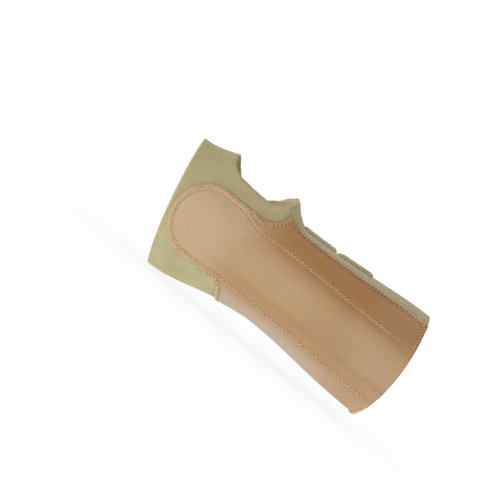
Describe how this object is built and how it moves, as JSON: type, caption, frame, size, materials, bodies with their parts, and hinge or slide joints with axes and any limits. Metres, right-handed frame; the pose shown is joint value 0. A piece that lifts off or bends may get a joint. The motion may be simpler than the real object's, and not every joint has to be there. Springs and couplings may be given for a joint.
{
  "type": "wrist splint",
  "caption": "Wrap-round wrist splint with a thumb hole, a leather palm cover that pockets a bent stay, and hook straps that close it along the back.",
  "frame": {"origin": "middle of the wrist inside the closed wrap, on the forearm's axis", "axes": "+X along the forearm towards the elbow, +Z to the thumb side, -Y out of the palm side, so +Y is the back of the hand"},
  "size_m": [0.1919, 0.0666, 0.0939],
  "materials": {
    "loop_foam": "brushed loop face",
    "lining": "matt knit",
    "leather": "smooth matt",
    "stay_metal": "satin",
    "strap_fabric": "brushed loop face",
    "hook_tape": "moulded hooks",
    "thread": "twisted thread"
  },
  "bodies": {
    "palm_shell": {"palmar_wrap": "loop_foam", "palmar_lining": "lining", "ulnar_wrap": "loop_foam", "ulnar_lining": "lining", "leather_cover": "leather"},
    "thumb_flap": {"radial_wrap": "loop_foam", "radial_lining": "lining", "hand_strap_root": "strap_fabric", "wrist_strap_root": "strap_fabric", "forearm_strap_root": "strap_fabric", "cuff_strap_root": "strap_fabric", "strap_bar_tacks": "thread"},
    "stay": {"palmar_stay": "stay_metal"},
    "hand_strap": {"hand_strap": "strap_fabric", "hand_strap_hook": "hook_tape"},
    "wrist_strap": {"wrist_strap": "strap_fabric", "wrist_strap_hook": "hook_tape"},
    "forearm_strap": {"forearm_strap": "strap_fabric", "forearm_strap_hook": "hook_tape"},
    "cuff_strap": {"cuff_strap": "strap_fabric", "cuff_strap_hook": "hook_tape"}
  },
  "joints": [
    {"name": "flap_fold", "type": "hinge", "parent": "palm_shell", "child": "thumb_flap", "pos_m": [-0.005, -0.006, 0.04625], "axis": [0.9961, -0.0848, -0.0238], "range_deg": [0, 55]},
    {"name": "hand_strap_peel", "type": "hinge", "parent": "thumb_flap", "child": "hand_strap", "pos_m": [-0.06, 0.0267, 0.00922], "axis": [0.9979, -0.007, 0.0636], "range_deg": [0, 115]},
    {"name": "wrist_strap_peel", "type": "hinge", "parent": "thumb_flap", "child": "wrist_strap", "pos_m": [0.0025, 0.02315, 0.02272], "axis": [0.9989, -0.0206, 0.0428], "range_deg": [0, 115]},
    {"name": "forearm_strap_peel", "type": "hinge", "parent": "thumb_flap", "child": "forearm_strap", "pos_m": [0.031, 0.0226, 0.02397], "axis": [0.9989, -0.0206, 0.0428], "range_deg": [0, 115]},
    {"name": "cuff_strap_peel", "type": "hinge", "parent": "thumb_flap", "child": "cuff_strap", "pos_m": [0.0685, 0.02709, 0.01735], "axis": [0.9972, 0.0618, 0.0425], "range_deg": [0, 115]},
    {"name": "stay_slide", "type": "hinge", "parent": "palm_shell", "child": "stay", "pos_m": [0.13, 0.96751, 0], "axis": [0, 0, 1], "range_deg": [0, 10.5]}
  ]
}
